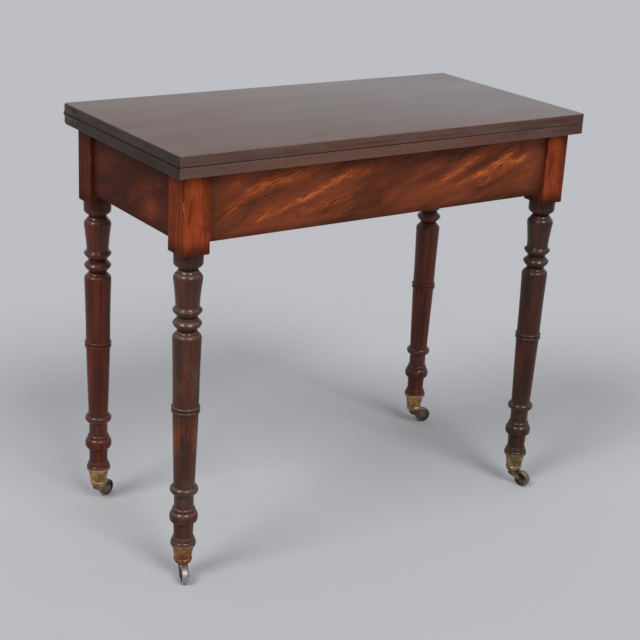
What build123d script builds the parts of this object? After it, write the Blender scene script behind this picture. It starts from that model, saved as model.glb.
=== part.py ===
from build123d import *
import os
from math import cos, radians, sin

os.makedirs("parts", exist_ok=True)

# Folding card table: four turned legs on castors carry a shallow frame, and a top of two
# hinged leaves swivels a quarter turn on the frame and then opens out to a square.
# Lengths are in millimetres. The origin is on the floor, under the middle of the closed top.
# +X runs along the front towards the right end, +Y runs to the rear and +Z up.

# Whole table
table_height = 740
top_length = 820
top_depth = 404
overhang = 17

# Leaves of the top
leaf_thickness = 18
leaf_gap = 0.4
leaf_edge_radius = 1.5
leaf_corner_radius = 3
top_clearance = 0.3
rear_edge_gap = 0.2

# Playing cloth let into the inner faces of the leaves
cloth_border = 62
cloth_fold_border = 6
cloth_recess = 1.2
cloth_thickness = 0.9
cloth_margin = 0.3

# Frame
post_side = 48
post_length = 128.3
post_arris = 0.8
rail_height = 110
rail_thickness = 22
rail_recess = 6
veneer_thickness = 1.2
tenon_length = 20
tenon_thickness = 9
tenon_shoulder = 12

# Board that carries the pivot, and the card well beside it
bearer_width = 60
bearer_thickness = 24
bearer_housing = 10
well_board_thickness = 10
well_board_lift = 18
cleat_side = 14
partition_thickness = 12

# Pivot of the top
pivot_bolt_radius = 6
pivot_head_radius = 11
pivot_head_thickness = 3
pivot_plate_side = 80
pivot_plate_thickness = 3
pivot_screw_inset = 13
washer_radius = 15
washer_thickness = 2
nut_side = 20
nut_height = 9
bolt_tail = 3
running_clearance = 0.1
seat_clearance = 0.2

# Block under the lower leaf that stops the swivel at both ends of its quarter turn
stop_reach = 200
stop_width = 22
stop_drop = 12
stop_clearance = 0.3

# Brass hinges let into the end edges of the leaves
hinge_length = 50
hinge_height = 13
hinge_thickness = 3
hinge_inset = 2.5
hinge_neck = 8
eye_radius = 4
eye_clearance = 0.3
eye_face_gap = 0.1
hinge_pin_radius = 1.6
hinge_pin_clearance = 0.05
pin_head_radius = 2.6
pin_head_height = 0.5
hinge_screw_count = 3
hinge_screw_share = 0.24

# Wood screws: head radius, shank radius and length
small_head = 2.6
small_shank = 1.3
small_length = 15
plate_head = 3.8
plate_shank = 1.9
plate_length = 13
bearer_head = 4.4
bearer_shank = 2.3
bearer_length = 40
bearer_screw_share = 0.25
cup_head = 1.9
cup_shank = 1
cup_screw_length = 8
slot_width_share = 0.3
slot_depth_share = 0.28
slot_reach_share = 2.5
tip_share = 0.2

# Turned leg, named from the square post down to the castor
block_upper = 9.4
block_groove = 1
block_groove_depth = 0.5
block_lower = 5.6
block_inset = 0.2
block_round = 10.8
neck_radius = 13.3
quirk = 1.1
quirk_depth = 0.7
vase_shoulder = 15.9
shoulder_radius = 23.8
vase_height = 43.1
waist_radius = 19.4
flare_height = 6
flare_radius = 22.1
upper_bead_height = 6
upper_ring_round = 8.6
discus_upper_slope = 8.6
discus_edge = 2.8
discus_lower_slope = 10.9
discus_radius = 23.1
shaft_shoulder = 13
mid_shaft_radius = 21.5
mid_bead_height = 5.7
mid_groove = 1
low_shaft_radius = 17.7
low_bead_height = 14.4
low_bead_tail = 4.2
column_radius = 16.6
upper_column_height = 20.6
collar_radius = 19.5
collar_round = 5.8
bulb_neck_radius = 19
bulb_radius = 23.6
bulb_upper_height = 12.5
bulb_lower_height = 9
bulb_end_radius = 17.5
lower_column_height = 25.6
foot_flare = 6.6
foot_flare_radius = 19.6
foot_bead_height = 4.8
foot_end_radius = 21.4
upper_shaft_share = 0.47

# How far a stretch of the turning swells or hollows, as a share of its chord
straight_share = 0
soft_share = 0.1
round_share = 0.16
bead_share = 0.3
edge_share = 0.2
mid_bead_share = 0.41
low_bead_share = 0.42
bulb_upper_share = 0.14
bulb_lower_share = 0.2
foot_bead_share = 0.12
foot_flare_share = 0.05
vase_hollow_share = -0.01
column_hollow_share = -0.02
shaft_hollow_share = -0.004
flare_hollow_share = -0.12
step_radius_share = 0.46
step_height_share = 0.3

# Castors
wheel_radius = 15.2
wheel_width = 10.4
wheel_corner = 1.4
web_width = 5.6
web_outer_radius = 12.2
hub_radius = 5.4
axle_radius = 2
axle_clearance = 0.06
axle_head_radius = 3.1
axle_head_height = 0.8
fork_trail = 21.5
fork_side_gap = 0.35
fork_cheek = 2
fork_disc_radius = 9.5
fork_disc_thickness = 2.6
fork_eye_radius = 4.6
fork_back = 8
fork_back_drop = 6
fork_web = 2.4
spindle_radius = 4
spindle_head_radius = 6
spindle_head_height = 1.8
spindle_clearance = 0.08
cup_height = 38
cup_rim_radius = 21.3
cup_rim_height = 7.2
cup_rim_share = 0.19
cup_top_radius = 18.3
cup_waist_radius = 14.6
cup_taper = 21.6
cup_bead_height = 5.2
cup_bead_share = 0.2
cup_base_radius = 12.2
cup_wall = 1.4
cup_floor = 4
cup_lift = 29
cup_gap = 0.3
foot_relief = 1.2
cup_screw_drop = 17
cup_screw_azimuth = 50

# Where each castor points: the angle of its trail about the leg, in degrees from +X
castor_headings = {
    "front_left": -112,
    "front_right": -74,
    "rear_left": 24,
    "rear_right": -15,
}

# Cutting tools run past the faces that they cut by this much
overrun = 5

# Heights and places that follow
interface_height = table_height - leaf_thickness - leaf_gap / 2
leaf_underside = interface_height - leaf_gap / 2 - leaf_thickness
frame_top = leaf_underside - top_clearance
post_bottom = frame_top - post_length
rail_bottom = frame_top - rail_height
frame_half_length = top_length / 2 - overhang
frame_half_depth = top_depth / 2 - overhang
leg_x = frame_half_length - post_side / 2
leg_y = frame_half_depth - post_side / 2
post_inner_x = frame_half_length - post_side
post_inner_y = frame_half_depth - post_side
rail_outer_x = frame_half_length - rail_recess - veneer_thickness
rail_outer_y = frame_half_depth - rail_recess - veneer_thickness
rail_inner_x = rail_outer_x - rail_thickness
rail_inner_y = rail_outer_y - rail_thickness
pivot_x = top_depth / 4
pivot_y = top_depth / 4
bearer_left = pivot_x - bearer_width / 2
bearer_bottom = frame_top - bearer_thickness
well_floor_bottom = rail_bottom + well_board_lift
well_floor_top = well_floor_bottom + well_board_thickness
washer_top = bearer_bottom - seat_clearance
nut_top = washer_top - washer_thickness
cup_top = cup_lift + cup_height
hinge_line_y = top_depth / 2

corner_signs = {
    "front_left": (-1, -1),
    "front_right": (1, -1),
    "rear_left": (-1, 1),
    "rear_right": (1, 1),
}
end_signs = {"left": -1, "right": 1}


def block(x_range, y_range, z_range):
    """Square-edged block between two places on each axis."""
    low = (min(x_range), min(y_range), min(z_range))
    high = (max(x_range), max(y_range), max(z_range))
    size = [high[i] - low[i] for i in range(3)]
    middle = [(high[i] + low[i]) / 2 for i in range(3)]
    return Pos(*middle) * Box(*size)


def rod(radius, bottom, top, x=0, y=0):
    """Upright cylinder between two heights."""
    return Pos(x, y, (bottom + top) / 2) * Cylinder(radius, top - bottom)


def along_x(radius, start, end, y, z):
    """Cylinder along X between two places."""
    return Pos((start + end) / 2, y, z) * Rot(0, 90, 0) * Cylinder(radius, abs(end - start))


def along_y(radius, start, end, x, z):
    """Cylinder along Y between two places."""
    return Pos(x, (start + end) / 2, z) * Rot(90, 0, 0) * Cylinder(radius, abs(end - start))


def spun(points):
    """Solid turned about Z from straight stretches given as (radius, height)."""
    corners = [Vector(radius, 0, height) for radius, height in points]
    return revolve(make_face(Polyline(*corners, close=True)), Axis.Z)


def screw_body(head, shank, length):
    """Countersunk screw without its slot, head up at the origin, pointing down."""
    cone = head - shank
    tip = length * tip_share
    return spun([(0, 0), (head, 0), (shank, -cone), (shank, tip - length), (0, -length)])


def screw(head, shank, length):
    """Countersunk screw with its slot."""
    slot = Box(slot_reach_share * head, slot_width_share * head, 2 * slot_depth_share * head)
    return screw_body(head, shank, length) - slot


def turned_line(start, steps):
    """Edges of a turning: each step drops to a new radius, and swells or hollows by a share."""
    edges = []
    radius, height = start
    for drop, next_radius, swell_share in steps:
        next_height = height - drop
        here = Vector(radius, 0, height)
        there = Vector(next_radius, 0, next_height)
        if swell_share:
            chord = there - here
            outward = Vector(-chord.Z, 0, chord.X)
            edges.append(ThreePointArc(here, (here + there) / 2 + outward * swell_share, there))
        else:
            edges.append(Line(here, there))
        radius, height = next_radius, next_height
    return edges, (radius, height)


def opening_out(height, inner, outer, share):
    """Shoulder that steps out from a neck: a small round, a cut-in line and a large round."""
    step_radius = inner + step_radius_share * (outer - inner)
    small = step_height_share * (height - quirk)
    return [
        (small, step_radius, soft_share),
        (0, step_radius - quirk_depth, straight_share),
        (quirk, step_radius - quirk_depth, straight_share),
        (height - quirk - small, outer, share),
    ]


def closing_in(height, outer, inner, share):
    """The same shoulder the other way up."""
    step_radius = inner + step_radius_share * (outer - inner)
    small = step_height_share * (height - quirk)
    return [
        (height - quirk - small, step_radius, share),
        (0, step_radius - quirk_depth, straight_share),
        (quirk, step_radius - quirk_depth, straight_share),
        (small, inner, soft_share),
    ]


block_radius = post_side / 2 - block_inset

leg_head_steps = (
    [(block_upper, block_radius, straight_share)]
    + [(block_groove / 2, block_radius - block_groove_depth, straight_share)]
    + [(block_groove / 2, block_radius, straight_share)]
    + [(block_lower, block_radius, straight_share)]
    + closing_in(block_round, block_radius, neck_radius, round_share)
    + opening_out(vase_shoulder, neck_radius, shoulder_radius, round_share)
    + [(vase_height, waist_radius, vase_hollow_share)]
    + [(flare_height, flare_radius, flare_hollow_share)]
    + [(upper_bead_height, flare_radius, bead_share)]
    + closing_in(upper_ring_round, flare_radius, neck_radius, soft_share)
    + opening_out(discus_upper_slope, neck_radius, discus_radius, soft_share)
    + [(discus_edge, discus_radius, edge_share)]
    + closing_in(discus_lower_slope, discus_radius, neck_radius, soft_share)
    + opening_out(shaft_shoulder, neck_radius, shoulder_radius, round_share)
)

leg_middle_steps = [
    (mid_bead_height, mid_shaft_radius, mid_bead_share),
    (mid_groove, mid_shaft_radius, straight_share),
    (mid_bead_height, mid_shaft_radius, mid_bead_share),
]

leg_lower_steps = [
    (low_bead_height, low_shaft_radius, low_bead_share),
    (low_bead_tail, column_radius, flare_hollow_share),
    (upper_column_height, column_radius, straight_share),
    (collar_round, collar_radius, round_share),
    (quirk, collar_radius, straight_share),
    (0, bulb_neck_radius, straight_share),
    (bulb_upper_height, bulb_radius, bulb_upper_share),
    (bulb_lower_height, bulb_end_radius, bulb_lower_share),
    (lower_column_height, column_radius, column_hollow_share),
    (foot_flare, foot_flare_radius, foot_flare_share),
    (0, foot_flare_radius - quirk_depth, straight_share),
    (quirk, foot_flare_radius - quirk_depth, straight_share),
    (foot_bead_height, foot_end_radius, foot_bead_share),
]


def shaft_steps():
    """The two tapering stretches share what height the mouldings leave."""
    mouldings = leg_head_steps + leg_middle_steps + leg_lower_steps
    left_over = post_bottom - cup_top - sum(step[0] for step in mouldings)
    upper = (left_over * upper_shaft_share, mid_shaft_radius, shaft_hollow_share)
    lower = (left_over * (1 - upper_shaft_share), low_shaft_radius, straight_share)
    return upper, lower


def cup_inside_steps():
    """Steps of the cup's inner wall, from its rim in and down to its floor."""
    rim_radius = cup_rim_radius - cup_wall
    top_radius = cup_top_radius - cup_wall
    low_radius = cup_waist_radius - cup_wall
    low_wall = cup_height - cup_rim_height - cup_taper - cup_floor
    return [
        (0, rim_radius, straight_share),
        (cup_rim_height, top_radius, straight_share),
        (cup_taper, low_radius, straight_share),
        (low_wall, low_radius, straight_share),
    ]


def turned_shaft():
    """Turned part of a leg about Z, from inside the post down to the bottom of the cup."""
    upper, lower = shaft_steps()
    steps = (
        [(overrun, block_radius, straight_share)]
        + leg_head_steps
        + [upper]
        + leg_middle_steps
        + [lower]
        + leg_lower_steps
        + cup_inside_steps()
    )
    start = (block_radius, post_bottom + overrun)
    edges, end = turned_line(start, steps)
    edges.append(Line((end[0], 0, end[1]), (0, 0, end[1])))
    edges.append(Line((0, 0, end[1]), (0, 0, start[1])))
    edges.append(Line((0, 0, start[1]), (start[0], 0, start[1])))
    return revolve(make_face(edges), Axis.Z)


def rivet_hollow():
    """Space in the foot of a leg for the riveted end of the castor's spindle."""
    floor = cup_lift + cup_floor
    radius = spindle_head_radius + foot_relief
    height = spindle_head_height + 2 * foot_relief
    return rod(radius, floor - overrun, floor + height)


def rail_tenons(name):
    """The two tenons of a rail, as blocks that also cut their mortises."""
    z_range = (rail_bottom + tenon_shoulder, frame_top - tenon_shoulder)
    tenons = []
    if name in ("front", "rear"):
        sign = -1 if name == "front" else 1
        middle = sign * (rail_outer_y - rail_thickness / 2)
        y_range = (middle - tenon_thickness / 2, middle + tenon_thickness / 2)
        for end in (-1, 1):
            x_range = (end * post_inner_x, end * (post_inner_x + tenon_length))
            tenons.append(block(x_range, y_range, z_range))
    else:
        sign = end_signs[name]
        middle = sign * (rail_outer_x - rail_thickness / 2)
        x_range = (middle - tenon_thickness / 2, middle + tenon_thickness / 2)
        for end in (-1, 1):
            y_range = (end * post_inner_y, end * (post_inner_y + tenon_length))
            tenons.append(block(x_range, y_range, z_range))
    return tenons


def cup_screw_place(x, y):
    """Place of the small screw through a cup's wall, away from the front."""
    height = cup_top - cup_screw_drop
    slope_share = (cup_screw_drop - cup_rim_height) / cup_taper
    radius = cup_top_radius - slope_share * (cup_top_radius - cup_waist_radius)
    angle = radians(cup_screw_azimuth)
    outward = Rot(0, 0, cup_screw_azimuth) * Rot(0, 90, 0)
    return Pos(x + radius * cos(angle), y + radius * sin(angle), height) * outward


def leg(corner):
    """One leg: square post, turned shaft and the foot that fits the castor's cup."""
    x_sign, y_sign = corner_signs[corner]
    x, y = x_sign * leg_x, y_sign * leg_y
    post = Pos(x, y, (post_bottom + frame_top) / 2) * Box(post_side, post_side, post_length)
    post = chamfer(post.edges().filter_by(Axis.Z), post_arris)
    solid = post + Pos(x, y, 0) * turned_shaft()
    solid -= Pos(x, y, 0) * rivet_hollow()
    for name in ("front", "rear", "left", "right"):
        for tenon in rail_tenons(name):
            solid -= tenon
    return solid - cup_screw_place(x, y) * screw_body(cup_head, cup_shank, cup_screw_length)


def bearer():
    """Cross board under the top, housed in the front and rear rails."""
    end = rail_inner_y + bearer_housing
    x_range = (bearer_left, bearer_left + bearer_width)
    return block(x_range, (-end, end), (bearer_bottom, frame_top))


def bearer_screw_places():
    """Two screws down through each end of the cross board into its rail."""
    places = []
    for y_sign in (-1, 1):
        for x_sign in (-1, 1):
            x = pivot_x + x_sign * bearer_screw_share * bearer_width
            y = y_sign * (rail_inner_y + bearer_housing / 2)
            places.append(Pos(x, y, frame_top))
    return places


def bearer_screw_tools():
    body = screw_body(bearer_head, bearer_shank, bearer_length)
    return [place * body for place in bearer_screw_places()]


def long_rail(name):
    """Front or rear rail between two posts, with tenons and the cross board's housing."""
    sign = -1 if name == "front" else 1
    y_range = (sign * rail_inner_y, sign * rail_outer_y)
    solid = block((-post_inner_x, post_inner_x), y_range, (rail_bottom, frame_top))
    for tenon in rail_tenons(name):
        solid += tenon
    solid -= bearer()
    for tool in bearer_screw_tools():
        solid -= tool
    return solid


def end_rail(name):
    """Left or right rail between two posts."""
    sign = end_signs[name]
    x_range = (sign * rail_inner_x, sign * rail_outer_x)
    solid = block(x_range, (-post_inner_y, post_inner_y), (rail_bottom, frame_top))
    for tenon in rail_tenons(name):
        solid += tenon
    return solid


def long_veneer(sign):
    """Figured face glued to the front rail."""
    y_range = (sign * rail_outer_y, sign * (rail_outer_y + veneer_thickness))
    return block((-post_inner_x, post_inner_x), y_range, (rail_bottom, frame_top))


def end_veneer(sign):
    """Figured face glued to an end rail."""
    x_range = (sign * rail_outer_x, sign * (rail_outer_x + veneer_thickness))
    return block(x_range, (-post_inner_y, post_inner_y), (rail_bottom, frame_top))


def pivot_bearer():
    """Cross board with the bore in which the pivot bolt turns."""
    radius = pivot_bolt_radius + running_clearance
    solid = bearer() - rod(radius, bearer_bottom - overrun, frame_top + overrun, pivot_x, pivot_y)
    for tool in bearer_screw_tools():
        solid -= tool
    return solid


def well_partition():
    """Upright board that closes the card well on the pivot's side."""
    x_range = (bearer_left, bearer_left + partition_thickness)
    return block(x_range, (-rail_inner_y, rail_inner_y), (well_floor_top, bearer_bottom))


def well_floor():
    """Bottom board of the card well, notched round the left posts."""
    x_range = (-rail_inner_x, bearer_left + partition_thickness)
    z_range = (well_floor_bottom, well_floor_top)
    solid = block(x_range, (-rail_inner_y, rail_inner_y), z_range)
    for sign in (-1, 1):
        y_range = (sign * post_inner_y, sign * (rail_inner_y + overrun))
        solid -= block((-rail_inner_x - overrun, -post_inner_x), y_range, z_range)
    return solid


def well_cleat(sign):
    """Strip on a long rail that the bottom board lies on."""
    x_range = (-post_inner_x, bearer_left + partition_thickness)
    y_range = (sign * (rail_inner_y - cleat_side), sign * rail_inner_y)
    return block(x_range, y_range, (well_floor_bottom - cleat_side, well_floor_bottom))


def castor_cup():
    """Brass cup about Z that the foot of a leg stands in."""
    base_height = cup_height - cup_rim_height - cup_taper - cup_bead_height
    outer_steps = [
        (cup_rim_height, cup_top_radius, cup_rim_share),
        (cup_taper, cup_waist_radius, vase_hollow_share),
        (cup_bead_height, cup_waist_radius, cup_bead_share),
        (base_height, cup_base_radius, round_share),
    ]
    edges, base = turned_line((cup_rim_radius, cup_top), outer_steps)
    inner_edges, floor = turned_line((cup_rim_radius, cup_top), cup_inside_steps())
    bore_radius = spindle_radius + spindle_clearance
    edges += inner_edges
    edges.append(Line((floor[0], 0, floor[1]), (bore_radius, 0, floor[1])))
    edges.append(Line((bore_radius, 0, floor[1]), (bore_radius, 0, base[1])))
    edges.append(Line((bore_radius, 0, base[1]), (base[0], 0, base[1])))
    return revolve(make_face(edges), Axis.Z)


def castor_fork():
    """Swivelling fork with its trail along +X, about the leg's axis."""
    disc_top = cup_lift - cup_gap
    disc_bottom = disc_top - fork_disc_thickness
    half_width = wheel_width / 2 + fork_side_gap + fork_cheek
    eye = Pos(fork_trail, wheel_radius) * Circle(fork_eye_radius)
    root = Polyline(
        (-fork_back, disc_top - fork_disc_thickness / 2),
        (-fork_back + fork_web / 2, disc_bottom - fork_back_drop),
        (fork_back, disc_top - fork_disc_thickness / 2),
        close=True,
    )
    outline = make_hull(eye.edges() + root.edges())
    cheeks = Pos(0, half_width, 0) * Rot(90, 0, 0) * extrude(outline, 2 * half_width)
    slot_half = wheel_width / 2 + fork_side_gap
    web_front = fork_web - fork_back
    far = fork_trail + fork_eye_radius + overrun
    cheeks -= block((web_front, far), (-slot_half, slot_half), (0, disc_bottom))
    sides = (-half_width - overrun, half_width + overrun)
    cheeks -= block((-fork_back - overrun, far), sides, (disc_bottom, disc_top + overrun))
    disc = rod(fork_disc_radius, disc_bottom, disc_top)
    floor = cup_lift + cup_floor
    spindle = rod(spindle_radius, disc_bottom, floor + cup_gap + spindle_head_height)
    head = rod(spindle_head_radius, floor + cup_gap, floor + cup_gap + spindle_head_height)
    solid = cheeks + disc + spindle + head
    return solid - along_y(axle_radius, sides[0], sides[1], fork_trail, wheel_radius)


def castor_axle():
    """Pin through both cheeks, riveted over at its ends."""
    half_width = wheel_width / 2 + fork_side_gap + fork_cheek
    pin = along_y(axle_radius, -half_width, half_width, fork_trail, wheel_radius)
    for sign in (-1, 1):
        pin += along_y(
            axle_head_radius,
            sign * half_width,
            sign * (half_width + axle_head_height),
            fork_trail,
            wheel_radius,
        )
    return pin


def castor_wheel():
    """Wheel with a dished web and a plain bore."""
    half = wheel_width / 2
    web = web_width / 2
    bore = axle_radius + axle_clearance
    edges = Polyline(
        (bore, 0, -half),
        (hub_radius, 0, -half),
        (hub_radius, 0, -web),
        (web_outer_radius, 0, -web),
        (web_outer_radius, 0, -half),
        (wheel_radius - wheel_corner, 0, -half),
        (wheel_radius, 0, wheel_corner - half),
        (wheel_radius, 0, half - wheel_corner),
        (wheel_radius - wheel_corner, 0, half),
        (web_outer_radius, 0, half),
        (web_outer_radius, 0, web),
        (hub_radius, 0, web),
        (hub_radius, 0, half),
        (bore, 0, half),
        close=True,
    )
    wheel = revolve(make_face(edges), Axis.Z)
    return Pos(fork_trail, 0, wheel_radius) * Rot(90, 0, 0) * wheel


def leaf(bottom, top):
    """One leaf with softened edges, as it lies in the closed top."""
    half_length = top_length / 2
    y_range = (-top_depth / 2, top_depth / 2 - rear_edge_gap)
    solid = block((-half_length, half_length), y_range, (bottom, top))
    solid = fillet(solid.edges().filter_by(Axis.Z), leaf_corner_radius)
    faces = solid.faces().sort_by(Axis.Z)
    return fillet(faces[0].edges() + faces[-1].edges(), leaf_edge_radius)


def cloth_range(margin):
    """Extent of the playing cloth along X and Y, taken in by a margin."""
    half_length = top_length / 2 - cloth_border - margin
    front = -top_depth / 2 + cloth_border + margin
    rear = top_depth / 2 - cloth_fold_border - margin
    return (-half_length, half_length), (front, rear)


def cloth_pocket(upper):
    """Shallow recess for the cloth in a leaf's inner face."""
    x_range, y_range = cloth_range(0)
    if upper:
        face = interface_height + leaf_gap / 2
        return block(x_range, y_range, (face - overrun, face + cloth_recess))
    face = interface_height - leaf_gap / 2
    return block(x_range, y_range, (face - cloth_recess, face + overrun))


def cloth(upper):
    """Playing cloth glued to the floor of its recess."""
    x_range, y_range = cloth_range(cloth_margin)
    if upper:
        floor = interface_height + leaf_gap / 2 + cloth_recess
        return block(x_range, y_range, (floor - cloth_thickness, floor))
    floor = interface_height - leaf_gap / 2 - cloth_recess
    return block(x_range, y_range, (floor, floor + cloth_thickness))


def hinge_outline(upper):
    """Side view of one hinge arm without its eye, in the plane of an end edge."""
    z_sign = 1 if upper else -1
    near = interface_height + z_sign * hinge_inset
    far = interface_height + z_sign * (hinge_inset + hinge_height)
    end_radius = hinge_height / 2
    rear = hinge_line_y - rear_edge_gap
    front = hinge_line_y - hinge_length
    return near, far, end_radius, rear, front


def hinge_plate(upper, sign):
    """Arm with a round front end and a short neck beside the eye, let into an end edge."""
    near, far, end_radius, rear, front = hinge_outline(upper)
    outer = sign * top_length / 2
    inner = outer - sign * hinge_thickness
    plate = block((inner, outer), (front + end_radius, rear), (near, far))
    plate += along_x(end_radius, inner, outer, front + end_radius, (near + far) / 2)
    z_sign = 1 if upper else -1
    neck_face = interface_height + z_sign * leaf_gap / 2
    return plate + block((inner, outer), (rear - hinge_neck, rear), (near, neck_face))


def hinge_screw_places(upper, sign):
    """Screws through an arm, evenly spaced along it."""
    near, far, end_radius, rear, front = hinge_outline(upper)
    places = []
    for index in range(hinge_screw_count):
        y = front + end_radius + index * hinge_screw_share * hinge_length
        places.append(Pos(sign * top_length / 2, y, (near + far) / 2) * Rot(0, sign * 90, 0))
    return places


def hinge_screw_tools(upper, sign):
    body = screw_body(small_head, small_shank, small_length)
    return [place * body for place in hinge_screw_places(upper, sign)]


def hinge_arm(upper, sign):
    """Hinge arm with its half of the eyes: the lower arm's eye is the inner one."""
    outer = sign * top_length / 2
    inner = outer - sign * hinge_thickness
    middle = outer - sign * hinge_thickness / 2
    if upper:
        face, back, beyond = middle + sign * eye_face_gap / 2, outer, inner - sign * overrun
        hole = hinge_pin_radius + hinge_pin_clearance
    else:
        face, back, beyond = middle - sign * eye_face_gap / 2, inner, outer + sign * overrun
        hole = hinge_pin_radius
    arm = hinge_plate(upper, sign)
    arm -= along_x(eye_radius + eye_clearance, face, beyond, hinge_line_y, interface_height)
    arm += along_x(eye_radius, face, back, hinge_line_y, interface_height)
    through = (inner - sign * overrun, outer + sign * overrun)
    arm -= along_x(hole, through[0], through[1], hinge_line_y, interface_height)
    for tool in hinge_screw_tools(upper, sign):
        arm -= tool
    return arm


def hinge_pin(sign):
    """Pin of one hinge, fast in the lower arm's eye."""
    outer = sign * top_length / 2
    inner = outer - sign * hinge_thickness
    head_end = outer + sign * (seat_clearance + pin_head_height)
    head_face = outer + sign * seat_clearance
    pin = along_x(hinge_pin_radius, inner, head_end, hinge_line_y, interface_height)
    return pin + along_x(pin_head_radius, head_face, head_end, hinge_line_y, interface_height)


def hinge_pocket(upper, sign):
    """Recess for an arm in a leaf's end edge, with room for both eyes to turn."""
    outer = sign * top_length / 2
    inner = outer - sign * hinge_thickness
    room = along_x(
        eye_radius + eye_clearance, inner, outer + sign * overrun, hinge_line_y, interface_height
    )
    return hinge_plate(upper, sign) + room


def pivot_plate_body():
    place = Pos(pivot_x, pivot_y, leaf_underside + pivot_plate_thickness / 2)
    return place * Box(pivot_plate_side, pivot_plate_side, pivot_plate_thickness)


def pivot_head():
    bottom = leaf_underside + pivot_plate_thickness
    return rod(pivot_head_radius, bottom, bottom + pivot_head_thickness, pivot_x, pivot_y)


def plate_screw_places():
    """Four screws up through the pivot plate into the lower leaf."""
    reach = pivot_plate_side / 2 - pivot_screw_inset
    return [
        Pos(pivot_x + x_sign * reach, pivot_y + y_sign * reach, leaf_underside) * Rot(180, 0, 0)
        for x_sign in (-1, 1)
        for y_sign in (-1, 1)
    ]


def plate_screw_tools():
    body = screw_body(plate_head, plate_shank, plate_length)
    return [place * body for place in plate_screw_places()]


def stop_block_body():
    """Block between the rear rail and, a quarter turn on, the cross board's edge."""
    x_range = (pivot_x - stop_reach - stop_width / 2, pivot_x - stop_reach + stop_width / 2)
    y_range = (pivot_y + bearer_width / 2 + stop_clearance, rail_inner_y - stop_clearance)
    return block(x_range, y_range, (leaf_underside - stop_drop, leaf_underside))


def stop_screw_place():
    middle_y = (pivot_y + bearer_width / 2 + rail_inner_y) / 2
    return Pos(pivot_x - stop_reach, middle_y, leaf_underside - stop_drop) * Rot(180, 0, 0)


def stop_screw_length():
    return stop_drop + leaf_thickness / 2


def lower_leaf():
    """Leaf that swivels on the frame, cut for its cloth, hinges, pivot and screws."""
    solid = leaf(leaf_underside, leaf_underside + leaf_thickness) - cloth_pocket(False)
    for sign in (-1, 1):
        solid -= hinge_pocket(False, sign)
        for tool in hinge_screw_tools(False, sign):
            solid -= tool
    solid -= pivot_plate_body()
    solid -= pivot_head()
    for tool in plate_screw_tools():
        solid -= tool
    return solid - stop_screw_place() * screw_body(plate_head, plate_shank, stop_screw_length())


def upper_leaf():
    """Leaf that folds over the lower one."""
    bottom = interface_height + leaf_gap / 2
    solid = leaf(bottom, bottom + leaf_thickness) - cloth_pocket(True)
    for sign in (-1, 1):
        solid -= hinge_pocket(True, sign)
        for tool in hinge_screw_tools(True, sign):
            solid -= tool
    return solid


def bolt_bore():
    """Hole round the pivot bolt, as deep as the leaf and the pivot's parts together."""
    return rod(pivot_bolt_radius, nut_top - nut_height - overrun, interface_height, pivot_x, pivot_y)


def pivot_plate():
    """Iron plate let in flush under the lower leaf."""
    solid = pivot_plate_body() - bolt_bore()
    for tool in plate_screw_tools():
        solid -= tool
    return solid


def pivot_bolt():
    """Bolt held by its head above the plate, down through the cross board and the nut."""
    bottom = nut_top - nut_height - bolt_tail
    top = leaf_underside + pivot_plate_thickness
    return pivot_head() + rod(pivot_bolt_radius, bottom, top, pivot_x, pivot_y)


def pivot_washer():
    return rod(washer_radius, nut_top, washer_top, pivot_x, pivot_y) - bolt_bore()


def pivot_nut():
    place = Pos(pivot_x, pivot_y, nut_top - nut_height / 2)
    return place * Box(nut_side, nut_side, nut_height) - bolt_bore()


def stop_block():
    return stop_block_body() - stop_screw_place() * screw_body(plate_head, plate_shank, stop_screw_length())


def hinge_screws(upper):
    """All screws of the two arms on one leaf."""
    places = hinge_screw_places(upper, -1) + hinge_screw_places(upper, 1)
    return [place * screw(small_head, small_shank, small_length) for place in places]


nodes = {}
cup_screw_body = screw_body(cup_head, cup_shank, cup_screw_length)
bearer_screw = screw(bearer_head, bearer_shank, bearer_length)
plate_screw = screw(plate_head, plate_shank, plate_length)
stop_screw = screw(plate_head, plate_shank, stop_screw_length())

for corner, (x_sign, y_sign) in corner_signs.items():
    x, y = x_sign * leg_x, y_sign * leg_y
    at_leg = Pos(x, y, 0)
    turned = at_leg * Rot(0, 0, castor_headings[corner])
    nodes["leg_" + corner] = [leg(corner)]
    nodes["castor_cup_" + corner] = [at_leg * castor_cup() - cup_screw_place(x, y) * cup_screw_body]
    nodes["castor_fork_" + corner] = [turned * castor_fork()]
    nodes["castor_axle_" + corner] = [turned * castor_axle()]
    nodes["castor_wheel_" + corner] = [turned * castor_wheel()]

nodes["castor_cup_screws"] = [
    cup_screw_place(x_sign * leg_x, y_sign * leg_y) * screw(cup_head, cup_shank, cup_screw_length)
    for x_sign, y_sign in corner_signs.values()
]

nodes["front_rail"] = [long_rail("front")]
nodes["rear_rail"] = [long_rail("rear")]
nodes["left_rail"] = [end_rail("left")]
nodes["right_rail"] = [end_rail("right")]
nodes["front_veneer"] = [long_veneer(-1)]
nodes["left_veneer"] = [end_veneer(-1)]
nodes["right_veneer"] = [end_veneer(1)]
nodes["pivot_bearer"] = [pivot_bearer()]
nodes["bearer_screws"] = [place * bearer_screw for place in bearer_screw_places()]
nodes["well_partition"] = [well_partition()]
nodes["well_floor"] = [well_floor()]
nodes["front_well_cleat"] = [well_cleat(-1)]
nodes["rear_well_cleat"] = [well_cleat(1)]

nodes["lower_leaf"] = [lower_leaf()]
nodes["lower_cloth"] = [cloth(False)]
nodes["pivot_plate"] = [pivot_plate()]
nodes["pivot_plate_screws"] = [place * plate_screw for place in plate_screw_places()]
nodes["pivot_bolt"] = [pivot_bolt()]
nodes["pivot_washer"] = [pivot_washer()]
nodes["pivot_nut"] = [pivot_nut()]
nodes["stop_block"] = [stop_block()]
nodes["stop_block_screw"] = [stop_screw_place() * stop_screw]

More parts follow.
